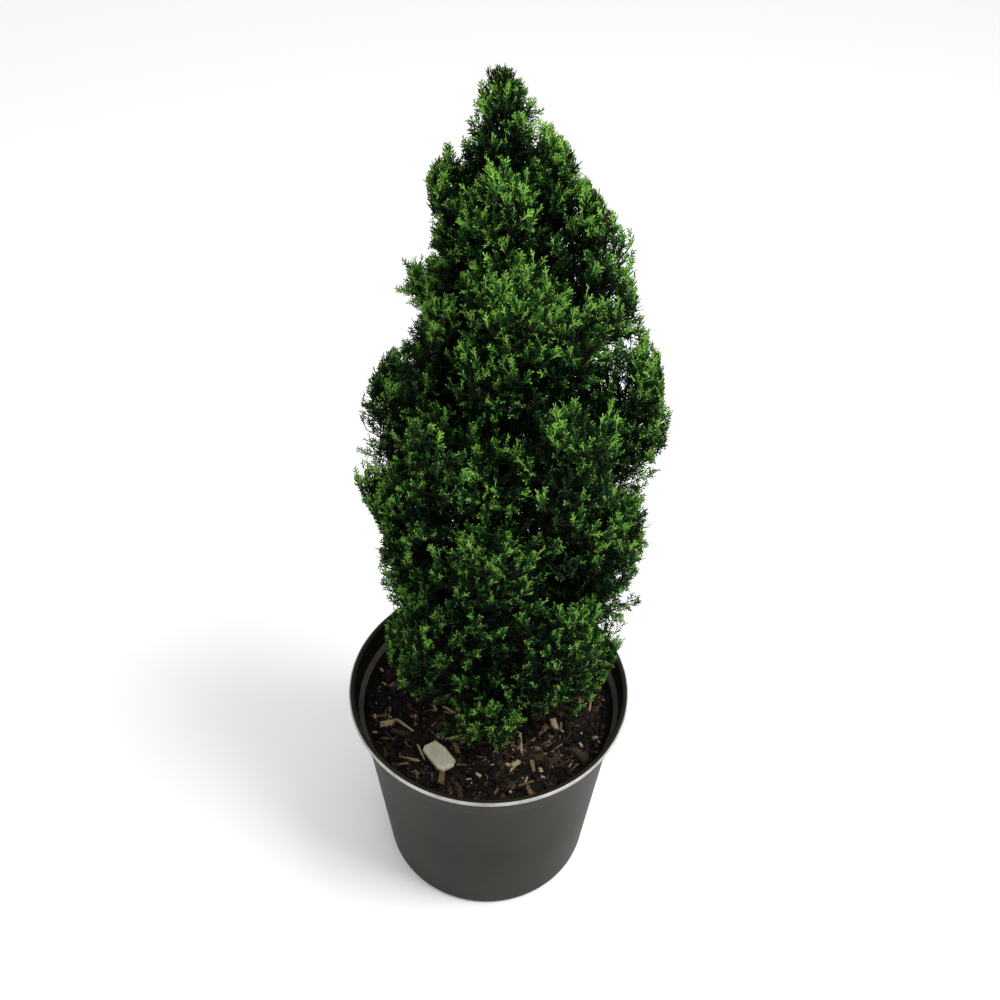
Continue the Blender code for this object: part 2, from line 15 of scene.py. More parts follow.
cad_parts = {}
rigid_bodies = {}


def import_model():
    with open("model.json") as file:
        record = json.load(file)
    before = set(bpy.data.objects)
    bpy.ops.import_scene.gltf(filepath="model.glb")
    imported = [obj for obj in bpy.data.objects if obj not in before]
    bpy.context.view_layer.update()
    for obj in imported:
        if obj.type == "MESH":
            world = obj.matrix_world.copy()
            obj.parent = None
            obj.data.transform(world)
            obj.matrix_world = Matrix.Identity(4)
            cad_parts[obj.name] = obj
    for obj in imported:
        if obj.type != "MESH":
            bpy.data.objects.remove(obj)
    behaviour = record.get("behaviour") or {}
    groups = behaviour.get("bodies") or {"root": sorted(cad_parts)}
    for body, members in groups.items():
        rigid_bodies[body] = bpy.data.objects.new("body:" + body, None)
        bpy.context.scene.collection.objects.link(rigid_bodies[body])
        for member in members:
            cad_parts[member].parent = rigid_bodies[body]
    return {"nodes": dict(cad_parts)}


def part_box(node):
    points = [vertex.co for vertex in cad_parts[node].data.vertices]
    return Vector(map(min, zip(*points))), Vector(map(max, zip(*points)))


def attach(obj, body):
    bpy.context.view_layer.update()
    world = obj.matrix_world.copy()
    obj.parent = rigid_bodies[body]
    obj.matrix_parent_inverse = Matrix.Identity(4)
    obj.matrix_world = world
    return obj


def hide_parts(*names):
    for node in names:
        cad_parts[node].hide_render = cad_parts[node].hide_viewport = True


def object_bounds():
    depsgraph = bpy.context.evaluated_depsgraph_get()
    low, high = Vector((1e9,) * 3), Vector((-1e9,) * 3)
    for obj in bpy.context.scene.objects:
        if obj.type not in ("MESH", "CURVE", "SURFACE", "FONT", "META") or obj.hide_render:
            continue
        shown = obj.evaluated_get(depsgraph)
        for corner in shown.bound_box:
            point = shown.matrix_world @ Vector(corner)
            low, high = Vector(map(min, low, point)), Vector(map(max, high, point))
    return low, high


for leftover in list(bpy.data.objects):
    bpy.data.objects.remove(leftover, do_unlink=True)
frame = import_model()
cad_box = [list(corner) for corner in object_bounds()]
print("solids", len(frame["nodes"]), "box", cad_box)

# %% [markdown]
# A plant has tens of thousands of small leaves. Objects or instances would be slow and would not
# export, so every piece here is one mesh that is filled from whole arrays of points and faces.

# %% From arrays to a piece
def mesh_piece(name, points, faces, materials, which=None, smooth=False):
    """One mesh object from an array of points and an array of faces of equal corner count."""
    points = np.asarray(points, np.float32)
    faces = np.asarray(faces, np.int32)
    mesh = bpy.data.meshes.new(name)
    mesh.vertices.add(len(points))
    mesh.vertices.foreach_set("co", points.ravel())
    mesh.loops.add(faces.size)
    mesh.loops.foreach_set("vertex_index", faces.ravel())
    mesh.polygons.add(len(faces))
    starts = np.arange(0, faces.size, faces.shape[1], dtype=np.int32)
    mesh.polygons.foreach_set("loop_start", starts)
    for material in materials:
        mesh.materials.append(material)
    if which is not None:
        mesh.polygons.foreach_set("material_index", np.asarray(which, np.int32))
    mesh.polygons.foreach_set("use_smooth", np.full(len(faces), smooth))
    mesh.update(calc_edges=True)
    thing = bpy.data.objects.new(name, mesh)
    bpy.context.scene.collection.objects.link(thing)
    return thing


def settle(piece, slot, *nodes):
    """Let a piece ride on the one body and hide the solids it stands for. The name of its finish is not
    used.
    """
    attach(piece, "root")
    if nodes:
        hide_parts(*nodes)
    print(piece.name, len(piece.data.polygons), "faces")


# %% [markdown]
# Most pieces are rings of corners with quads between neighbouring rings, or many copies of one
# small template. A few helpers make those arrays, so that each step below is only its own shape.

# %% Helpers for arrays
def unit(vectors):
    """The same directions with length one."""
    return vectors / (np.linalg.norm(vectors, axis=-1, keepdims=True) + 1e-12)


def circle(radius, height, corners):
    """A level ring of corners round the pot's axis."""
    turns = np.arange(corners) * math.tau / corners
    return np.stack((radius * np.cos(turns), radius * np.sin(turns), np.full(corners, height)), 1)


def ring_quads(first_corner, corners):
    """Quads between one ring of corners and the next, which follows it in the array."""
    ring = np.arange(corners)
    after = (ring + 1) % corners
    return first_corner + np.stack((ring, after, corners + after, corners + ring), 1)


def stacked(rings, corners):
    """The quads of a whole stack of rings."""
    return np.concatenate([ring_quads(level * corners, corners) for level in range(rings - 1)])


def joined(shapes):
    """One array of points and one of faces from several pairs of them."""
    points, faces, count = [], [], 0
    for shape_points, shape_faces in shapes:
        points.append(shape_points)
        faces.append(shape_faces + count)
        count += len(shape_points)
    return np.concatenate(points), np.concatenate(faces)


def stamp(points, faces, places, frames, sizes):
    """Copies of a template: points (p,3) in frames (n,3,3) of row axes, at places, times sizes."""
    local = points[None, :, :] * sizes[:, None, :]
    moved = places[:, None, :] + np.einsum("npk,nkx->npx", local, frames)
    corner = (np.arange(len(places)) * len(points))[:, None, None]
    return moved.reshape(-1, 3), (faces[None, :, :] + corner).reshape(-1, faces.shape[1])


# %% [markdown]
# Real surfaces are never one flat colour. Wood, plastic and soil get a noise between two near
# colours, with a bump from the same noise. The leaves are too small for a pattern, so they only
# need plain finishes.

# %% Helpers for finishes
GRAIN_DETAIL, GRAIN_ROUGHNESS = 8.0, 0.65
RELIEF_DEPTH = 0.001


def plain(name, colour, roughness, specular=0.5):
    """A finish of one colour."""
    material = bpy.data.materials.new(name)
    material.use_nodes = True
    shader = material.node_tree.nodes["Principled BSDF"]
    shader.inputs["Base Color"].default_value = (*colour, 1.0)
    shader.inputs["Roughness"].default_value = roughness
    shader.inputs["Specular IOR Level"].default_value = specular
    return material


def mottled(name, dark, light, roughness, scale, bump, stretch=(1, 1, 1), specular=0.5):
    """A finish that wanders between two colours, with a fine relief from the same noise."""
    material = plain(name, light, roughness, specular)
    tree = material.node_tree
    shader = tree.nodes["Principled BSDF"]
    place = tree.nodes.new("ShaderNodeTexCoord")
    mapping = tree.nodes.new("ShaderNodeMapping")
    mapping.inputs["Scale"].default_value = stretch
    grain = tree.nodes.new("ShaderNodeTexNoise")
    grain.inputs["Scale"].default_value = scale
    grain.inputs["Detail"].default_value = GRAIN_DETAIL
    grain.inputs["Roughness"].default_value = GRAIN_ROUGHNESS
    ramp = tree.nodes.new("ShaderNodeValToRGB")
    for element, position, colour in zip(ramp.color_ramp.elements, (0.35, 0.70), (dark, light)):
        element.position = position
        element.color = (*colour, 1.0)
    relief = tree.nodes.new("ShaderNodeBump")
    relief.inputs["Strength"].default_value = bump
    relief.inputs["Distance"].default_value = RELIEF_DEPTH
    tree.links.new(place.outputs["Object"], mapping.inputs["Vector"])
    tree.links.new(mapping.outputs["Vector"], grain.inputs["Vector"])
    tree.links.new(grain.outputs["Fac"], ramp.inputs["Fac"])
    tree.links.new(ramp.outputs["Color"], shader.inputs["Base Color"])
    tree.links.new(grain.outputs["Fac"], relief.inputs["Height"])
    tree.links.new(relief.outputs["Normal"], shader.inputs["Normal"])
    return material


# %% [markdown]
# The pot is moulded plastic: a thin wall, a collar band, a step that shows as a ledge inside and
# as a faint line outside, and a flat lip whose edge catches the light. A turned profile is the
# natural way to make it, with many segments so that its edge stays round.

# %% Pot profile
POT_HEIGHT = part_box("pot")[1].z
RIM_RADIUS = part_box("pot")[1].x
POT_SEGMENTS = 192
# Rings up the outside, over the lip and down the inside, as radius and height
FOOT_OUTSIDE = ((0.1037, 0.0), (0.1060, 0.0005), (0.1078, 0.0018), (0.1088, 0.0036), (0.1092, 0.0058))
WALL_OUTSIDE = ((0.1190, 0.1100), (0.1285, 0.2082), (0.1288, 0.2092), (0.1331, 0.2120), (0.1336, 0.2130))
LIP = (
    (0.1357, 0.2330), (0.1362, 0.2342), (0.1390, 0.2345), (0.1398, 0.2353), (RIM_RADIUS, 0.2365),
    (RIM_RADIUS, 0.2378), (0.1396, 0.2387), (0.1386, POT_HEIGHT), (0.1356, POT_HEIGHT),
)
INSIDE = (
    (0.1347, 0.2386), (0.1342, 0.2374), (0.1320, 0.2178), (0.1315, 0.2166), (0.1274, 0.2132),
    (0.1268, 0.2120), (0.1172, 0.1100), (0.1075, 0.0095), (0.1060, 0.0050), (0.1030, 0.0035),
)
POT_PROFILE = FOOT_OUTSIDE + WALL_OUTSIDE + LIP + INSIDE
rings = [circle(radius, height, POT_SEGMENTS) for radius, height in POT_PROFILE]
pot_wall_shape = np.concatenate(rings), stacked(len(rings), POT_SEGMENTS)
print("rings in the pot", len(rings))

# %% [markdown]
# The base is two discs, the underside and the floor inside. A ring of drainage holes goes through
# both. On a disc of quads the simplest hole is to leave a few quads out.

# %% Pot base
DRAIN_HOLES = 8
DRAIN_RADIUS = 0.006
DRAIN_CIRCLE = 0.080
DRAIN_BAND = DRAIN_RADIUS * 1.4
HALF_HOLE_QUADS = 1.6
BASE_CENTRE_RADIUS = 0.002


def base_disc(outer, height, faces_up):
    """A disc from the wall to the centre, open where the drainage holes are."""
    radii = (outer, DRAIN_CIRCLE + DRAIN_BAND, DRAIN_CIRCLE - DRAIN_BAND, BASE_CENTRE_RADIUS)
    points = np.concatenate([circle(radius, height, POT_SEGMENTS) for radius in radii])
    per_hole = POT_SEGMENTS // DRAIN_HOLES
    from_hole = np.abs((np.arange(POT_SEGMENTS) % per_hole) - per_hole / 2 + 0.5)
    faces = []
    for level in range(len(radii) - 1):
        quads = ring_quads(level * POT_SEGMENTS, POT_SEGMENTS)
        if level == 1:
            quads = quads[from_hole > HALF_HOLE_QUADS]
        faces.append(quads if faces_up else quads[:, ::-1])
    return points, np.concatenate(faces)


underside = base_disc(*POT_PROFILE[0], faces_up=False)
inside_floor = base_disc(*POT_PROFILE[-1], faces_up=True)
points, faces = joined((pot_wall_shape, underside, inside_floor))
print("faces in the pot", len(faces))

# %% [markdown]
# The plastic is a dark warm taupe. Its lip edge is painted bright, as a painted highlight, and the
# ledge inside is painted greyer than the wall, as painted light, because it faces the sky. Faces
# pick one of the three finishes by where they are.

# %% Pot finishes
pot_wall = mottled("pot_wall", (0.009, 0.0070, 0.0042), (0.020, 0.0160, 0.0102), 0.48, 9.0, 0.10,
                   stretch=(1, 1, 0.35), specular=0.09)
# Painted highlight: the lip edge is painted far lighter than the wall.
pot_lip_painted_highlight = mottled("pot_lip_painted_highlight", (0.20, 0.195, 0.180), (0.50, 0.49, 0.46), 0.25, 30.0, 0.05)
# Painted light: the ledge is painted greyer than the wall because it faces the sky.
pot_ledge_painted_light = mottled("pot_ledge_painted_light", (0.045, 0.043, 0.039), (0.085, 0.082, 0.075), 0.40, 30.0, 0.05)
LIP_UNDERSIDE, LIP_EDGE_RADIUS = 0.2344, 0.1374
LEDGE_FOOT, LEDGE_TOP, LEDGE_OUTER_RADIUS = 0.2122, 0.2172, 0.1320
SHARP_EDGE = math.radians(50)

middle = points[faces].mean(1)
radius, height = np.hypot(middle[:, 0], middle[:, 1]), middle[:, 2]
# Masks for the painted highlight on the lip and the painted light on the ledge.
painted_highlight_on_lip = (height > LIP_UNDERSIDE) & (radius > LIP_EDGE_RADIUS)
painted_light_on_ledge = (height > LEDGE_FOOT) & (height < LEDGE_TOP) & (radius < LEDGE_OUTER_RADIUS)
part = painted_highlight_on_lip.astype(int) + 2 * painted_light_on_ledge.astype(int)
pot = mesh_piece("pot_shell", points, faces, [pot_wall, pot_lip_painted_highlight, pot_ledge_painted_light], part, smooth=True)
pot.data.set_sharp_from_angle(angle=SHARP_EDGE)
settle(pot, "pot_plastic", "pot")

# %% [markdown]
# The compost is composted bark. Under the chips lies a crumbly ground. A finely divided disc
# whose height comes from two noises, one for clods and one for crumbs, gives it real relief.

# %% Compost surface
COMPOST_TOP = 0.203
COMPOST_RADIUS = 0.1262
CLOD_SCALE, CLOD_HEIGHT, CLOD_LAYER = 55, 0.0030, 0.3
CRUMB_SCALE, CRUMB_HEIGHT, CRUMB_LAYER = 260, 0.0018, 1.7
SOIL_RINGS, SOIL_SPOKES = 70, 220
soil = mottled("soil", (0.0020, 0.0016, 0.0013), (0.015, 0.011, 0.008), 0.95, 160.0, 0.9, specular=0.12)


def ground(x, y):
    """Height of the compost surface."""
    clod = noise.noise(Vector((x * CLOD_SCALE, y * CLOD_SCALE, CLOD_LAYER)))
    crumb = noise.noise(Vector((x * CRUMB_SCALE, y * CRUMB_SCALE, CRUMB_LAYER)))
    return COMPOST_TOP + CLOD_HEIGHT * clod + CRUMB_HEIGHT * crumb


soil_points = np.concatenate([circle(COMPOST_RADIUS * (1 - level / SOIL_RINGS), 0.0, SOIL_SPOKES)
                              for level in range(SOIL_RINGS)])
soil_points[:, 2] = [ground(x, y) for x, y in soil_points[:, :2]]
soil_faces = stacked(SOIL_RINGS, SOIL_SPOKES)
settle(mesh_piece("compost_surface", soil_points, soil_faces, [soil], smooth=True), "compost", "compost")

# %% [markdown]
# On the ground lie crumbs, chips and slivers of bark. One rough slab with uneven corners serves as
# the template for them all, and five browns from nearly black to straw serve as their colours.

# %% Template of a bark chip
SLAB = np.array([(-.5, -.34, 0), (.44, -.5, 0), (.5, .30, 0), (-.36, .5, 0),
                 (-.42, -.26, 1), (.34, -.40, .8), (.40, .20, 1), (-.30, .40, .75)], float)
SLAB[:, 2] -= 0.5
SLAB_FACES = np.array([(0, 3, 2, 1), (4, 5, 6, 7), (0, 1, 5, 4), (1, 2, 6, 5), (2, 3, 7, 6), (3, 0, 4, 7)])
CHIP_COLOURS = ((0.003, 0.0025, 0.002), (0.010, 0.0065, 0.0045), (0.036, 0.022, 0.013),
                (0.130, 0.085, 0.045), (0.330, 0.255, 0.150))
chip_finishes = [plain("bark_chip_%d" % n, c, 0.82, 0.15) for n, c in enumerate(CHIP_COLOURS)]
print("faces in a chip", len(SLAB_FACES), "browns", len(chip_finishes))

# %% [markdown]
# Each copy is stretched, turned and tilted by chance. The crumbs are mostly nearly black, the chips
# are browner, and the thin slivers are the palest.

# %% Bark chips
CHIP_SEED = 21
WALL_CLEARANCE = 0.002
HEAP_HEIGHT = 0.0030
CHIP_LENGTH_PLAY = (0.6, 1.0)
THINNEST, THICKEST = 0.0008, 0.005
rng = np.random.default_rng(CHIP_SEED)


def lying_frames(heading, tilt, count):
    """Row frames whose first axis points along a turn about +Z, tilted by normal noise."""
    first = unit(np.stack((np.cos(heading), np.sin(heading), rng.normal(0, tilt, count)), 1))
    lean = rng.normal(0, tilt, count), rng.normal(0, tilt, count)
    second = unit(np.cross(unit(np.stack((*lean, np.ones(count)), 1)), first))
    return np.stack((first, second, np.cross(first, second)), 1)


def lay(name, count, lengths, width_share, thick_share, tilt, colour_shares):
    """Lay chips at random over the compost, each in one of the browns."""
    length = rng.uniform(*lengths, count) * rng.uniform(*CHIP_LENGTH_PLAY, count)
    radius = np.sqrt(rng.uniform(0, 1, count)) * (COMPOST_RADIUS - WALL_CLEARANCE - length / 2)
    turn = rng.uniform(0, math.tau, count)
    x, y = radius * np.cos(turn), radius * np.sin(turn)
    z = np.array([ground(a, b) for a, b in zip(x, y)]) + rng.uniform(0.0, HEAP_HEIGHT, count)
    width = length * rng.uniform(*width_share, count)
    thickness = np.clip(length * rng.uniform(*thick_share, count), THINNEST, THICKEST)
    frames = lying_frames(rng.uniform(0, math.tau, count), tilt, count)
    sizes = np.stack((length, width, thickness), 1)
    points, faces = stamp(SLAB, SLAB_FACES, np.stack((x, y, z), 1), frames, sizes)
    colour = rng.choice(len(CHIP_COLOURS), count, p=colour_shares)
    piece = mesh_piece(name, points, faces, chip_finishes, np.repeat(colour, len(SLAB_FACES)))
    settle(piece, "compost")


# Each with its count, lengths, shares of width and thickness, tilt, and shares of the browns
lay("bark_crumbs", 2800, (0.003, 0.008), (0.5, 0.9), (0.25, 0.5), 0.45, (0.54, 0.30, 0.11, 0.03, 0.02))
lay("bark_chips", 1000, (0.010, 0.027), (0.22, 0.55), (0.08, 0.20), 0.25, (0.44, 0.32, 0.15, 0.06, 0.03))
lay("bark_slivers", 560, (0.014, 0.036), (0.06, 0.14), (0.05, 0.09), 0.20, (0.20, 0.28, 0.27, 0.15, 0.10))

# %% [markdown]
# One pale chip is far larger than the rest and draws the eye. It is a weathered slab with a
# chipped outline, made of a few rings of corners, with its edges taken off by a bevel.

# %% Pale chip
pale_wood = mottled("pale_wood", (0.50, 0.47, 0.33), (0.90, 0.88, 0.74), 0.7, 70.0, 0.7, stretch=(1, 0.3, 1))
low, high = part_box("pale_chip")
CHIP_LENGTH, CHIP_WIDTH, CHIP_BEVEL = 0.037, 0.0205, 0.0006
CHIP_TURN = Matrix.Rotation(math.radians(-52), 2)
CHIP_OUTLINE = (
    (-0.50, -0.28), (-0.42, -0.46), (0.28, -0.50), (0.44, -0.36),
    (0.50, 0.18), (0.38, 0.46), (-0.12, 0.50), (-0.46, 0.34),
)
# Rings from the underside up, as share of the outline and share of the thickness
CHIP_RINGS = ((0.002, 0.0), (0.92, 0.0), (1.0, 0.35), (0.97, 0.80), (0.80, 1.0), (0.002, 0.90))
chip_points = []
for shrink, rise in CHIP_RINGS:
    for a, b in CHIP_OUTLINE:
        spot = CHIP_TURN @ Vector((a * CHIP_LENGTH, b * CHIP_WIDTH)) * shrink + (low + high).xy / 2
        chip_points.append((spot.x, spot.y, low.z + rise * (high.z - low.z)))
chip_faces = stacked(len(CHIP_RINGS), len(CHIP_OUTLINE))
chip = mesh_piece("pale_wood_chip", chip_points, chip_faces, [pale_wood])
soften = chip.modifiers.new("soften", "BEVEL")
soften.width = CHIP_BEVEL
soften.segments = 2
settle(chip, "pale_wood", "pale_chip")

# %% [markdown]
# The crown follows the rule of the solids: a bowed trunk, and an outline that is given as the
# reach to the left and to the right at some heights. The same named sizes are written again here.

# %% Trunk and outline of the crown
GAP = 0.0003
TRUNK_FOOT, TRUNK_TOP, TRUNK_BOW = Vector((0.014, 0.004)), Vector((0.004, 0.0, 0.742)), 0.010
FLARE_RADIUS, FLARE_HEIGHT, TRUNK_RADIUS, TRUNK_TOP_RADIUS = 0.0150, 0.022, 0.0095, 0.0016
TAPER_POWER, FLARE_FALL = 0.9, 2.0
NEAR_STEPS, BARK_ROOM = (-0.012, -0.006, 0.0, 0.006, 0.012), 1.07
# Reach of the crown, as height and distance from the pot's axis
LEFT_REACH = (
    (0.205, 0.050), (0.25, 0.082), (0.30, 0.093), (0.45, 0.097), (0.49, 0.093), (0.54, 0.111),
    (0.58, 0.102), (0.61, 0.091), (0.645, 0.077), (0.67, 0.058), (0.72, 0.044), (0.783, 0.042),
    (0.816, 0.020), (0.856, 0.001),
)
RIGHT_REACH = (
    (0.205, 0.065), (0.25, 0.098), (0.30, 0.112), (0.39, 0.140), (0.48, 0.132), (0.51, 0.117),
    (0.54, 0.134), (0.586, 0.136), (0.65, 0.117), (0.70, 0.096), (0.735, 0.093), (0.77, 0.062),
    (0.815, 0.034), (0.856, 0.003),
)
CROWN_TIP = Vector((0.002, 0.0, 0.856))


def trunk_axis(height):
    """Middle of the trunk at a height."""
    share = (height - COMPOST_TOP) / (TRUNK_TOP.z - COMPOST_TOP)
    bow = TRUNK_BOW * math.sin(math.pi * min(max(share, 0.0), 1.0))
    x = TRUNK_FOOT.x + (TRUNK_TOP.x - TRUNK_FOOT.x) * share + bow
    return Vector((x, TRUNK_FOOT.y + (TRUNK_TOP.y - TRUNK_FOOT.y) * share, height))


def trunk_radius(height):
    """Radius of the trunk at a height: the root flare, then a long taper."""
    above = max(height - COMPOST_TOP, 0.0)
    share = min(above / (TRUNK_TOP.z - COMPOST_TOP), 1.0)
    taper = TRUNK_RADIUS + (TRUNK_TOP_RADIUS - TRUNK_RADIUS) * share ** TAPER_POWER
    return taper + (FLARE_RADIUS - TRUNK_RADIUS) * math.exp(-above / FLARE_HEIGHT * FLARE_FALL)


def trunk_face(height, outward):
    """Level, along an outward direction, of a flat face just clear of the trunk near a height."""
    near = [height + step for step in NEAR_STEPS]
    return max(outward.dot(trunk_axis(here)) + BARK_ROOM * trunk_radius(here) for here in near) + GAP


def reach(height, turn):
    """How far the crown stands out from the pot's axis, for numbers or arrays."""
    left = np.interp(height, *zip(*LEFT_REACH))
    right = np.interp(height, *zip(*RIGHT_REACH))
    return left + (right - left) * (0.5 + 0.5 * np.cos(turn))


def away(turn):
    """The level direction away from the pot's axis at a turn about it."""
    return Vector((math.cos(turn), math.sin(turn), 0.0))


print("reach right and left at half height", reach(0.5, 0.0), reach(0.5, math.pi))

# %% [markdown]
# Plumes stand in tiers, with their tips on the crown's outline, and most have a bough. The draws
# of chance come in the same order as for the solids, so that each plume grows where its solid is.

# %% Plan of the plumes
# Each tier: name, number of plumes, height of their feet and tips, how much higher the tips stand
# on the right, turn of the first plume, distance of the feet from the trunk, and half width.
TIERS = (
    ("skirt", 5, 0.226, 0.300, 0.010, -90, 0.0, 0.052),
    ("low", 5, 0.282, 0.410, 0.000, -54, 0.050, 0.060),
    ("middle", 6, 0.370, 0.515, 0.000, -92, 0.054, 0.054),
    ("high", 6, 0.465, 0.612, 0.010, -62, 0.052, 0.052),
    ("shoulder", 5, 0.565, 0.715, 0.085, -72, 0.034, 0.050),
    ("crest", 4, 0.655, 0.788, 0.020, -90, 0.0, 0.040),
)
FOOT_LIFT, TIP_INSET = 0.012, 0.002
TURN_PLAY, TIP_PLAY, PLAN_SEED = 0.10, 0.010, 11
LEADER_WIDTH = 0.030
SIDE_FOOT, SIDE_TIP, SIDE_WIDTH = Vector((-0.032, -0.004, 0.655)), Vector((-0.066, -0.006, 0.714)), 0.030
# The stagger is 1 and -1 by turns, so that neighbouring boughs start at different heights
Plume = namedtuple("Plume", "tier name foot tip width bough stagger")


def plan_tier(draw, name, count, foot_height, tip_height, lift, first_turn, foot_distance, width):
    """The plumes of one tier."""
    planned = []
    for number in range(count):
        turn = math.radians(first_turn) + math.tau * number / count
        turn = turn + draw.uniform(-TURN_PLAY, TURN_PLAY)
        tip_z = tip_height + 0.5 * lift * math.cos(turn) + draw.uniform(-TIP_PLAY, TIP_PLAY)
        foot_z = foot_height + draw.uniform(-FOOT_LIFT, FOOT_LIFT) / 2
        tip = away(turn) * (float(reach(tip_z, turn)) - TIP_INSET) + Vector((0, 0, tip_z))
        foot = trunk_axis(foot_z)
        outward = Vector((tip.x - foot.x, tip.y - foot.y, 0.0)).normalized()
        bough = None
        if foot_distance:
            foot = foot + outward * foot_distance
            bough = "bough_%s_%d" % (name, number + 1)
        else:
            foot = foot + outward * (trunk_face(foot_z, outward) - outward.dot(foot))
        node = "foliage_%s_%d" % (name, number + 1)
        planned.append(Plume(name, node, foot, tip, width, bough, 1 - 2 * (number % 2)))
    return planned


draw = random.Random(PLAN_SEED)
plumes = [plume for tier in TIERS for plume in plan_tier(draw, *tier)]
leader_foot = TRUNK_TOP + Vector((0, 0, GAP))
plumes.append(Plume("crest", "foliage_leader", leader_foot, CROWN_TIP, LEADER_WIDTH, None, 0))
plumes.append(Plume("crest", "foliage_side_spray", SIDE_FOOT, SIDE_TIP, SIDE_WIDTH, "bough_side", 0))
print("plumes", len(plumes))

# %% [markdown]
# Between the plumes the real trunk carries short leafy shoots, which hide it from view. They are
# planned one by one at the heights and turns where the gaps would be.

# %% Plan of the inner shoots
# Each shoot: height, turn in degrees and the share of the crown's reach that its tip has.
INNER_SHOOTS = (
    (0.42, -90, 0.75), (0.50, -90, 0.75), (0.57, -95, 0.80), (0.63, -85, 0.75), (0.33, -30, 0.75),
    (0.33, 90, 0.75), (0.33, 210, 0.75), (0.44, 30, 0.75), (0.44, 150, 0.75), (0.54, 100, 0.75),
    (0.54, 205, 0.75), (0.60, -8, 0.98), (0.60, -45, 0.90), (0.40, -10, 0.95), (0.62, 140, 0.75),
    (0.50, -12, 0.95), (0.33, 15, 0.95),
)
INNER_RISE, INNER_WIDTH = 0.085, 0.040
for height, degrees, share in INNER_SHOOTS:
    turn, tip_z = math.radians(degrees), height + INNER_RISE
    tip = away(turn) * (float(reach(tip_z, turn)) * share) + Vector((0, 0, tip_z))
    plumes.append(Plume("inner", "inner_shoot", trunk_axis(height), tip, INNER_WIDTH, None, 0))
print("plumes and inner shoots", len(plumes))

# %% [markdown]
# Trunk and boughs hide in the foliage but show through its gaps. They are tubes with the bark's
# upright ridges and cracks in the mesh itself, from noise that is stretched along the limb.

# %% Trunk
bark = mottled("bark", (0.016, 0.008, 0.005), (0.070, 0.037, 0.021), 0.85, 90.0, 0.8,
               stretch=(1, 1, 0.25), specular=0.15)
BARK_ACROSS, BARK_UPRIGHT = 420, 60
TRUNK_SIDES, TRUNK_RELIEF, UNDER_RELIEF = 28, 0.10, 0.97
STEEP = 0.9
FLARE_RINGS, SHAFT_RINGS = 20, 90
TRUNK_SUNK, FLARE_END, SHAFT_START = 0.003, 0.05, 0.055


def limb(path, radii, sides, relief):
    """A tube round a path, open at its hidden ends, its surface moved by stretched noise."""
    points = []
    for number, centre in enumerate(path):
        along = (path[min(number + 1, len(path) - 1)] - path[max(number - 1, 0)]).normalized()
        helper = Vector((0, 0, 1)) if abs(along.z) < STEEP else Vector((1, 0, 0))
        first = along.cross(helper).normalized()
        second = along.cross(first)
        for side in range(sides):
            turn = math.tau * side / sides
            spoke = first * math.cos(turn) + second * math.sin(turn)
            here = centre + spoke * radii[number]
            spot = Vector((here.x * BARK_ACROSS, here.y * BARK_ACROSS, here.z * BARK_UPRIGHT))
            points.append(tuple(centre + spoke * radii[number] * (1 + relief * noise.noise(spot))))
    return np.array(points), stacked(len(path), sides)


heights = np.concatenate((np.linspace(COMPOST_TOP - TRUNK_SUNK, COMPOST_TOP + FLARE_END, FLARE_RINGS),
                          np.linspace(COMPOST_TOP + SHAFT_START, TRUNK_TOP.z, SHAFT_RINGS)))
points, faces = limb([trunk_axis(h) for h in heights],
                     [trunk_radius(h) * UNDER_RELIEF for h in heights], TRUNK_SIDES, TRUNK_RELIEF)
settle(mesh_piece("trunk_bark", points, faces, [bark], smooth=True), "bark", "trunk")

# %% [markdown]
# A bough leaves the trunk outwards and upwards and bends into the line of its plume. A cubic
# curve between two points and two directions is the plain way to draw such a bend.

# %% Boughs
BOUGH_DROP, BOUGH_STAGGER, BOUGH_SHARE, BOUGH_TIP_RADIUS = 0.042, 0.007, 0.46, 0.0019
BOUGH_RINGS, BOUGH_SIDES, BOUGH_RELIEF = 12, 10, 0.12
BOUGH_SUNK, BOUGH_PULL, BOUGH_LIFT = 0.5, 0.45, 0.55


def bough_path(plume):
    """Middle line of a bough, from inside the trunk to its plume's foot, and its root radius."""
    foot, along = plume.foot, (plume.tip - plume.foot).normalized()
    start_height = foot.z - BOUGH_DROP + BOUGH_STAGGER * plume.stagger
    root = trunk_axis(start_height)
    outward = Vector((foot.x - root.x, foot.y - root.y, 0.0)).normalized()
    root = root + outward * trunk_radius(start_height) * BOUGH_SUNK
    pull = (foot - root).length * BOUGH_PULL
    leaving = (outward + Vector((0, 0, BOUGH_LIFT))).normalized()
    controls = (root, root + leaving * pull, foot - along * pull, foot)
    path = []
    for t in np.linspace(0, 1, BOUGH_RINGS):
        weights = ((1 - t) ** 3, 3 * t * (1 - t) ** 2, 3 * t * t * (1 - t), t ** 3)
        path.append(sum((float(w) * p for w, p in zip(weights, controls)), Vector()))
    return path, BOUGH_SHARE * trunk_radius(start_height)


limbs, boughs = [], []
for plume in plumes:
    if plume.bough:
        path, root_radius = bough_path(plume)
        radii = np.linspace(root_radius, min(root_radius, BOUGH_TIP_RADIUS), BOUGH_RINGS)
        limbs.append(limb(path, radii, BOUGH_SIDES, BOUGH_RELIEF))
        boughs.append(plume.bough)
points, faces = joined(limbs)
settle(mesh_piece("bough_bark", points, faces, [bark], smooth=True), "bark", *boughs)

# %% [markdown]
# Lawson cypress foliage is made of flat sprays: a thin axis with short side shoots, each covered
# in scales. One shoot is drawn as a narrow kite of two triangles, and seven of them on an axis make
# the template of a spray. Its parts leave the plane a little, so that light breaks up on it.

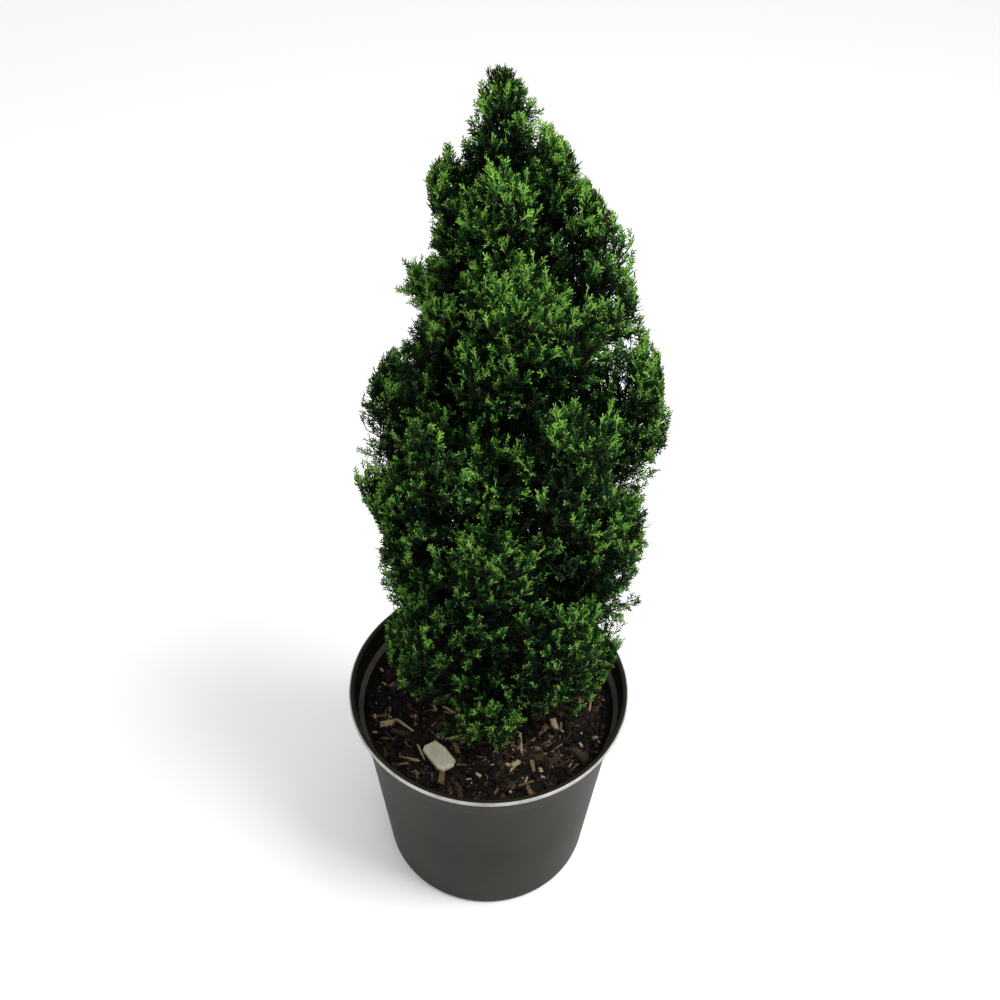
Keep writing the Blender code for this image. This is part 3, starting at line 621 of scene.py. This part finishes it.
# %% Template of a spray
# Each side shoot: where it leaves the axis, its length and its side.
SIDE_SHOOTS = ((0.06, 0.36, 1), (0.18, 0.40, -1), (0.31, 0.40, 1), (0.44, 0.37, -1), (0.56, 0.33, 1),
               (0.67, 0.28, -1), (0.77, 0.23, 1))
AXIS_HALF_WIDTH, SHOOT_HALF_WIDTH, KITE_LIFT = 0.060, 0.055, 0.05
FORWARD_SHARE, SIDEWAYS_SHARE, WIDEST_AT = 0.80, 0.62, 0.55
BASE_LIFT, TIP_RISE, TIP_FALL = 0.02, 0.10, -0.06
KITE_FACES = np.array([(0, 1, 2), (0, 2, 3)])


def kite(base, tip, half_width, lift):
    """A narrow kite from a base to a tip, its wide corners lifted off the plane."""
    base, tip = np.array(base), np.array(tip)
    along = tip - base
    across = np.array((-along[1], along[0], 0.0)) / np.hypot(along[0], along[1]) * half_width
    wide = base + along * WIDEST_AT + (0, 0, lift)
    return np.array((base, wide - across, tip, wide + across)), KITE_FACES


kites = [kite((0, 0, 0), (1, 0, 0), AXIS_HALF_WIDTH, KITE_LIFT)]
for number, (at, length, side) in enumerate(SIDE_SHOOTS):
    rise = TIP_RISE if number % 3 == 0 else TIP_FALL
    tip = (at + length * FORWARD_SHARE, side * length * SIDEWAYS_SHARE, rise)
    kites.append(kite((at, 0, BASE_LIFT), tip, SHOOT_HALF_WIDTH, KITE_LIFT * side))
SPRAY_POINTS, SPRAY_FACES = joined(kites)
# How much lighter or darker each shoot is than its spray, from the axis and the base to the tip,
# partly fresh tips and partly painted light and shade
SHOOT_LIGHT_AND_SHADE_STEPS = np.repeat((0, -1, -1, -1, 0, 0, 1, 1), len(KITE_FACES))
print("triangles in a spray", len(SPRAY_FACES))

# %% [markdown]
# The crown looks almost clipped, because its shoots all stop at nearly the same outline. Here a
# shoot that would pass the outline is made shorter, step by step.

# %% Keeping to the outline
OUTLINE_PLAY = 0.006
SOIL_CLEARANCE = 0.003
# The hollow in the crown's left side, under the thin spray that stands apart there
NOTCH_HEIGHT, NOTCH_SPREAD, NOTCH_DEPTH = 0.652, 0.026, 0.020
SHORTENING, SHORTENING_STEPS = 0.82, 7


def within(points):
    """Which points lie in the crown's outline."""
    turn = np.arctan2(points[:, 1], points[:, 0])
    radius, height = np.hypot(points[:, 0], points[:, 1]), points[:, 2]
    notch = NOTCH_DEPTH * np.exp(-((height - NOTCH_HEIGHT) / NOTCH_SPREAD) ** 2)
    notch = notch * (0.5 - 0.5 * np.cos(turn))
    inside = radius < reach(height, turn) + OUTLINE_PLAY - notch
    return inside & (height < CROWN_TIP.z) & (height > COMPOST_TOP + SOIL_CLEARANCE)


def anywhere(points):
    """Every point, for the thin side spray that stands outside the outline."""
    return np.ones(len(points), bool)


def shortened(root, heading, length, fits):
    """Lengths cut back until the shoots' ends fit."""
    for _ in range(SHORTENING_STEPS):
        outside = ~fits(root + heading * length[:, None])
        length = np.where(outside, length * SHORTENING, length)
    return length


# %% [markdown]
# Each plume grows by one rule, carried three steps on: twigs in a golden-angle spiral round the
# stem, side twigs along each twig, and sprays along each side twig. Every step is one function
# that works on all its shoots at once, as arrays. All shoots bend upwards, as this plant's do.

# %% First step: twigs
Shoots = namedtuple("Shoots", "root heading length parent at")
GOLDEN = math.radians(137.5)
UP = np.array((0.0, 0.0, 1.0))
ANY_SLANT = (0.3, 0.9, 0.1)
TWIG_START, TWIG_STRETCH = 0.02, 0.93
BELLY_STRETCH, BELLY_START, BELLY_POWER = 0.88, 0.13, 0.6
PLUME_FULLNESS, SHORTEST_TWIG, TWIG_PLAY = 1.20, 0.004, (0.78, 1.15)
FOOT_FORWARD, MORE_FORWARD, TWIG_LIFT, TWIG_WANDER = 0.7, 1.3, 0.40, 0.14


def ends(shoots):
    """The tips of shoots."""
    return shoots.root + shoots.heading * shoots.length[:, None]


def grow_twigs(draw, foot, along, length, width, count, fits):
    """Twigs in a spiral round a stem, longest a little below the plume's middle."""
    first = unit(np.cross(along, ANY_SLANT))
    second = np.cross(along, first)
    number = np.arange(count)
    at = TWIG_START + TWIG_STRETCH * (number + 0.5) / count
    turn = draw.uniform(0, math.tau) + number * GOLDEN
    spoke = np.cos(turn)[:, None] * first + np.sin(turn)[:, None] * second
    root = foot + along * (length * at)[:, None]
    belly = np.sin(math.pi * np.clip(at * BELLY_STRETCH + BELLY_START, 0, 1)) ** BELLY_POWER
    girth = (width * PLUME_FULLNESS * belly + SHORTEST_TWIG) * draw.uniform(*TWIG_PLAY, count)
    forward = along * (FOOT_FORWARD + MORE_FORWARD * at)[:, None]
    heading = unit(spoke + forward + UP * TWIG_LIFT + draw.normal(0, TWIG_WANDER, (count, 3)))
    return Shoots(root, heading, shortened(root, heading, girth, fits), None, at)


# %% [markdown]
# Side twigs leave each twig to the left and right in turn, at even steps. Towards the twig's end
# they are shorter and point further forwards, which gives the twig its feathered outline.

# %% Second step: side twigs
FIRST_AT = 0.20
SIDE_BEND, FOOT_BEND, LESS_BEND = 0.85, 1.1, 0.6
SIDE_TILT, SIDE_LIFT, SIDE_WANDER = 0.5, 0.50, 0.25
FOOT_SIZE, LESS_SIZE = 1.15, 0.45
LENGTH_PLAY = (0.75, 1.2)


def along_parents(parents, count):
    """Roots spread evenly along parent shoots, taking turns to the left and right."""
    at = np.tile(np.linspace(FIRST_AT, 1.0, count), len(parents.root))
    parent = np.repeat(np.arange(len(parents.root)), count)
    side = np.where(np.arange(len(parent)) % 2 == 0, 1.0, -1.0)
    root = parents.root[parent] + parents.heading[parent] * (parents.length[parent] * at)[:, None]
    return at, parent, side, root


def grow_side_twigs(draw, twigs, along, count, full_length, fits):
    """Side twigs, the outer ones shorter and closer to their twig's direction."""
    at, parent, side, root = along_parents(twigs, count)
    old = twigs.heading[parent]
    lateral = unit(np.cross(old, along + draw.normal(0, SIDE_TILT, (len(parent), 3))))
    bend = (side * SIDE_BEND * (FOOT_BEND - LESS_BEND * at))[:, None]
    wander = draw.normal(0, SIDE_WANDER, (len(parent), 3))
    heading = unit(old + lateral * bend + UP * SIDE_LIFT + wander)
    length = full_length * (FOOT_SIZE - LESS_SIZE * at) * draw.uniform(*LENGTH_PLAY, len(parent))
    return Shoots(root, heading, shortened(root, heading, length, fits), parent, at)


# %% [markdown]
# Sprays sit along a side twig in the same way, and the last one carries straight on from its end.
# Their planes are turned by chance, so that some catch the light and others don't.

# %% Third step: sprays
SPRAY_LENGTH, AT_THE_END = 0.0112, 0.99
SPRAY_BEND, SPRAY_LIFT, SPRAY_WANDER = 0.6, 0.25, 0.2


def grow_sprays(draw, side_twigs, count):
    """Sprays along side twigs, and frames of row axes that hold each one's plane."""
    at, parent, side, root = along_parents(side_twigs, count)
    old, shape = side_twigs.heading[parent], (len(parent), 3)
    lateral = unit(np.cross(old, draw.normal(0, 1, shape)))
    bend = (side * (at < AT_THE_END) * SPRAY_BEND)[:, None]
    heading = unit(old + lateral * bend + UP * SPRAY_LIFT + draw.normal(0, SPRAY_WANDER, shape))
    length = SPRAY_LENGTH * draw.uniform(*LENGTH_PLAY, len(parent))
    across = unit(np.cross(heading, draw.normal(0, 1, shape)))
    frames = np.stack((heading, across, np.cross(heading, across)), 1)
    return Shoots(root, heading, length, parent, at), frames


# %% [markdown]
# A spray's tone follows where it sits: nearly black deep inside, as painted shade, and bright on the
# newest tips, partly their fresh green and partly painted light. The tone adds up how far out the
# spray is in the crown, as painted light and shade, on its twig, along its plume and on its side
# twig, partly fresh growth and partly painted light, and a little for height, as painted light from
# above. Some chance keeps neighbours from looking alike.

# %% Tones
# Painted light and shade: the weights for how far out and how high a spray is darken the crown's inside and
# lighten its top.
PAINTED_LIGHT_OUT, TONE_TWIG, TONE_PLUME, TONE_SIDE_TWIG = 0.60, 0.95, 0.28, 0.22
PAINTED_LIGHT_HEIGHT, MIDDLE_HEIGHT, TONE_CHANCE = 0.5, 0.5, 0.13
FARTHEST_OUT, LEAST_REACH = 1.1, 1e-4


def tones(draw, end, on_plume, on_twig, on_side_twig):
    """How light each spray is, partly painted light and shade, from the place of its end and of what carries
    it.
    """
    turn = np.arctan2(end[:, 1], end[:, 0])
    outer = np.hypot(end[:, 0], end[:, 1]) / (reach(end[:, 2], turn) + LEAST_REACH)
    # How far out and how high a spray is paint shade inside the crown and light on its top.
    tone = PAINTED_LIGHT_OUT * np.clip(outer, 0, FARTHEST_OUT) ** 3 + TONE_TWIG * on_twig ** 2
    tone = tone + TONE_PLUME * on_plume + TONE_SIDE_TWIG * on_side_twig
    return tone + PAINTED_LIGHT_HEIGHT * (end[:, 2] - MIDDLE_HEIGHT) + draw.normal(0, TONE_CHANCE, len(end))


# %% [markdown]
# The three steps and the tones together make a plume. It is kept as arrays in a named tuple, so
# that nothing is made in Blender yet.

# %% A whole plume
TWIG_RADII, SIDE_TWIG_RADII = (0.0011, 0.0005), (0.0005, 0.0003)
Growth = namedtuple("Growth", "node foot tip stems root frames size tone")


def stems_of(shoots, radii):
    """Roots, ends and the radii at both, as a tier's twigs need them."""
    count = len(shoots.root)
    return shoots.root, ends(shoots), np.full(count, radii[0]), np.full(count, radii[1])


def grow(node, foot, tip, width, counts, side_length, fits, seed):
    """Twigs and sprays of one plume, as arrays."""
    draw = np.random.default_rng(seed)
    start, length = np.array(foot), np.linalg.norm(np.array(tip) - np.array(foot))
    along = (np.array(tip) - start) / length
    twigs = grow_twigs(draw, start, along, length, width, counts[0], fits)
    side_twigs = grow_side_twigs(draw, twigs, along, counts[1], side_length, fits)
    sprays, frames = grow_sprays(draw, side_twigs, counts[2])
    on_plume, on_twig = twigs.at[side_twigs.parent][sprays.parent], side_twigs.at[sprays.parent]
    tone = tones(draw, ends(sprays), on_plume, on_twig, sprays.at)
    keep = fits(ends(sprays))
    stems = [stems_of(twigs, TWIG_RADII), stems_of(side_twigs, SIDE_TWIG_RADII)]
    return Growth(node, foot, tip, stems, sprays.root[keep], frames[keep], sprays.length[keep], tone[keep])


# %% [markdown]
# Long plumes need more twigs than short ones, so their number follows the length. The thin spray
# at the side and the shoots inside the crown are sparser.

# %% Grow every plume
TWIGS_PER_METRE, SIDE_TWIGS, SPRAYS, SIDE_TWIG_LENGTH = 270, 8, 5, 0.021
THIN_COUNTS, THIN_SIDE_TWIG_LENGTH, THIN_WIDTH, THIN_SHARE = (16, 4, 4), 0.010, 0.010, 0.74
INNER_COUNTS = (24, 7, 4)
FULLNESS = {"crest": 0.65, "shoulder": 0.95}
FIRST_SEED = 900
tiers = {}
for number, plume in enumerate(plumes):
    foot, tip, fits, side_length = plume.foot, plume.tip, within, SIDE_TWIG_LENGTH
    width = plume.width * FULLNESS.get(plume.tier, 1.0)
    counts = (round(TWIGS_PER_METRE * (tip - foot).length), SIDE_TWIGS, SPRAYS)
    if plume.name == "foliage_side_spray":
        counts, fits, side_length, width = THIN_COUNTS, anywhere, THIN_SIDE_TWIG_LENGTH, THIN_WIDTH
        tip = foot + (tip - foot) * THIN_SHARE
    if plume.tier == "inner":
        counts = INNER_COUNTS
    grown = grow(plume.name, foot, tip, width, counts, side_length, fits, FIRST_SEED + number)
    tiers.setdefault(plume.tier, []).append(grown)
print("sprays", sum(len(grown.tone) for rows in tiers.values() for grown in rows))

# %% [markdown]
# The tones of all sprays are dealt out to five greens by fixed shares: few bright tips, partly fresh
# growth and partly painted light, and much dark green, most of it painted shade. Within a spray the
# outer shoots are one green lighter and the inner ones one darker, partly fresh tips and partly
# painted light and shade.

# %% Greens
# From nearly black painted shade to bright tips that are partly painted light.
LEAF_GREENS_SHADE_TO_LIGHT = ((0.0012, 0.0045, 0.0022), (0.0040, 0.0150, 0.0055), (0.0110, 0.0400, 0.0105),
                (0.0430, 0.1300, 0.0210), (0.1900, 0.3900, 0.0620))
leaf_finishes_shade_to_light = [plain("leaf_%d" % n, c, 0.6, 0.06) for n, c in enumerate(LEAF_GREENS_SHADE_TO_LIGHT)]
TONE_SHARES = (0.34, 0.64, 0.86, 0.96)
every_tone = np.concatenate([grown.tone for rows in tiers.values() for grown in rows])
levels = np.quantile(every_tone, TONE_SHARES)
print("tone levels", np.round(levels, 2))

# %% [markdown]
# The sprays of one tier become one mesh. A spray that would leave the box of the solids is
# dropped, and each face gets the number of its green.

# %% Sprays of a tier
BOX_LOW, BOX_HIGH = np.array(cad_box[0]), np.array(cad_box[1])
SPRAY_CLEARANCE, TWIG_CLEARANCE = 0.0002, 0.001


def boxed_in(points, clearance):
    """Which points lie inside the box of the solids by more than a clearance."""
    return ((points > BOX_LOW + clearance) & (points < BOX_HIGH - clearance)).all(-1)


def spray_piece(tier, rows):
    """All sprays of a tier, each face in its green."""
    columns = zip(*((grown.root, grown.frames, grown.size, grown.tone) for grown in rows))
    root, frames, size, tone = (np.concatenate(column) for column in columns)
    corners = root[:, None] + np.einsum("pk,nkx->npx", SPRAY_POINTS, frames) * size[:, None, None]
    boxed = boxed_in(corners, SPRAY_CLEARANCE).all(1)
    sizes = np.repeat(size[boxed, None], 3, 1)
    points, faces = stamp(SPRAY_POINTS, SPRAY_FACES, root[boxed], frames[boxed], sizes)
    # Each face's green carries painted light and shade from its tone and its shoot's step.
    colour = np.searchsorted(levels, tone[boxed])[:, None] + SHOOT_LIGHT_AND_SHADE_STEPS[None, :]
    colour = np.clip(colour, 0, len(LEAF_GREENS_SHADE_TO_LIGHT) - 1).ravel()
    return mesh_piece("sprays_" + tier, points, faces, leaf_finishes_shade_to_light, colour)


# %% [markdown]
# Stems, twigs and side twigs are thin three-sided prisms, because at their size no more sides
# would show. They become one mesh for a tier too.

# %% Twigs of a tier
twig_bark = plain("twig_bark", (0.016, 0.013, 0.006), 0.85, 0.1)
PRISM_FACES = np.array([(0, 1, 4, 3), (1, 2, 5, 4), (2, 0, 3, 5)])
OTHER_SLANT = (0.31, 0.17, 0.93)
STEM_RADII, STEM_SHARE = (0.0019, 0.0006), 0.94


def prisms(start, end, low_radius, high_radius):
    """Three-sided twigs between arrays of points."""
    along = unit(end - start)
    first = unit(np.cross(along, OTHER_SLANT))
    second = np.cross(along, first)
    points = np.zeros((len(start), 6, 3))
    for corner in range(3):
        turn = math.tau * corner / 3
        spoke = first * math.cos(turn) + second * math.sin(turn)
        points[:, corner] = start + spoke * low_radius[:, None]
        points[:, corner + 3] = end + spoke * high_radius[:, None]
    offset = (np.arange(len(start)) * 6)[:, None, None]
    return points.reshape(-1, 3), (PRISM_FACES[None] + offset).reshape(-1, 4)


def twig_piece(tier, rows):
    """The stems, twigs and side twigs of a tier."""
    shapes = []
    for grown in rows:
        stem_end = grown.foot + (grown.tip - grown.foot) * STEM_SHARE
        stem = tuple(np.array([value]) for value in (grown.foot, stem_end, *STEM_RADII))
        for start, end, low_radius, high_radius in [stem] + grown.stems:
            held = boxed_in(start, TWIG_CLEARANCE) & boxed_in(end, TWIG_CLEARANCE)
            shapes.append(prisms(start[held], end[held], low_radius[held], high_radius[held]))
    points, faces = joined(shapes)
    return mesh_piece("twigs_" + tier, points, faces, [twig_bark])


# %% [markdown]
# Every tier gives two pieces. The sprays stand for the tier's solids, apart from those of the
# inner shoots, which have none.

# %% Foliage and twig pieces
for tier, rows in tiers.items():
    nodes = [grown.node for grown in rows] if tier != "inner" else []
    settle(spray_piece(tier, rows), "foliage", *nodes)
    settle(twig_piece(tier, rows), "foliage")

# %% [markdown]
# The camera stands where the photograph was taken from: above the plant and looking down at it.
# Its place and lens come from the ellipses of the pot's rim and base. The turn is written as three
# directions, the columns of a matrix, because a slight roll is awkward as angles.

# %% Camera
CAMERA_PLACE = Vector((0.0, -0.6988, 1.1158))
CAMERA_PITCH, CAMERA_ROLL, CAMERA_YAW = 0.73303, 0.023242, 0.009769
CAMERA_LENS, SENSOR_WIDTH = 39.6, 36.0
ahead = Vector((math.sin(CAMERA_YAW), math.cos(CAMERA_YAW), 0.0)) * math.cos(CAMERA_PITCH)
forward = ahead - Vector((0, 0, math.sin(CAMERA_PITCH)))
right = Vector((math.cos(CAMERA_YAW), -math.sin(CAMERA_YAW), 0.0))
above = right.cross(forward)
across = right * math.cos(CAMERA_ROLL) + above * math.sin(CAMERA_ROLL)
upright = above * math.cos(CAMERA_ROLL) - right * math.sin(CAMERA_ROLL)
camera_data = bpy.data.cameras.new("camera")
camera_data.lens = CAMERA_LENS
camera_data.sensor_width = SENSOR_WIDTH
camera = bpy.data.objects.new("camera", camera_data)
bpy.context.scene.collection.objects.link(camera)
turned = Matrix((across, upright, -forward)).transposed().to_4x4()
camera.matrix_world = Matrix.Translation(CAMERA_PLACE) @ turned
bpy.context.scene.camera = camera
print("camera at", CAMERA_PLACE)

# %% [markdown]
# The light is a bright overcast sky, with one large soft lamp from above right for a little
# shape. The floor is plain and pale, so that nothing competes with the plant.

# %% Light and floor
SKY_STRENGTH = 0.95
LAMP_PLACE, LAMP_TARGET = Vector((1.1, -0.5, 2.3)), Vector((0.0, 0.0, 0.45))
LAMP_SIZE, LAMP_POWER = 0.9, 46.0
FLOOR_HALF, FLOOR_HEIGHT = 6.0, -0.0002
FLOOR_TURNS = ((-1, -1), (1, -1), (1, 1), (-1, 1))

world = bpy.data.worlds.new("sky")
bpy.context.scene.world = world
world.use_nodes = True
sky = world.node_tree.nodes["Background"]
sky.inputs["Color"].default_value = (1.0, 1.0, 1.0, 1.0)
sky.inputs["Strength"].default_value = SKY_STRENGTH

lamp_data = bpy.data.lights.new("soft_lamp", "AREA")
lamp_data.size = LAMP_SIZE
lamp_data.energy = LAMP_POWER
lamp = bpy.data.objects.new("soft_lamp", lamp_data)
lamp.location = LAMP_PLACE
lamp.rotation_euler = (LAMP_TARGET - LAMP_PLACE).to_track_quat("-Z", "Y").to_euler()
bpy.context.scene.collection.objects.link(lamp)
bpy.context.scene.view_settings.view_transform = "Standard"

floor_paint = plain("pale_floor", (0.90, 0.90, 0.90), 0.9, 0.1)
floor_corners = [(a * FLOOR_HALF, b * FLOOR_HALF, FLOOR_HEIGHT) for a, b in FLOOR_TURNS]
floor = mesh_piece("floor", floor_corners, [(0, 1, 2, 3)], [floor_paint])
print("floor", 2 * FLOOR_HALF, "m wide")

# %% [markdown]
# The view layer is brought up to date at the end.

# %% Finish
bpy.context.view_layer.update()
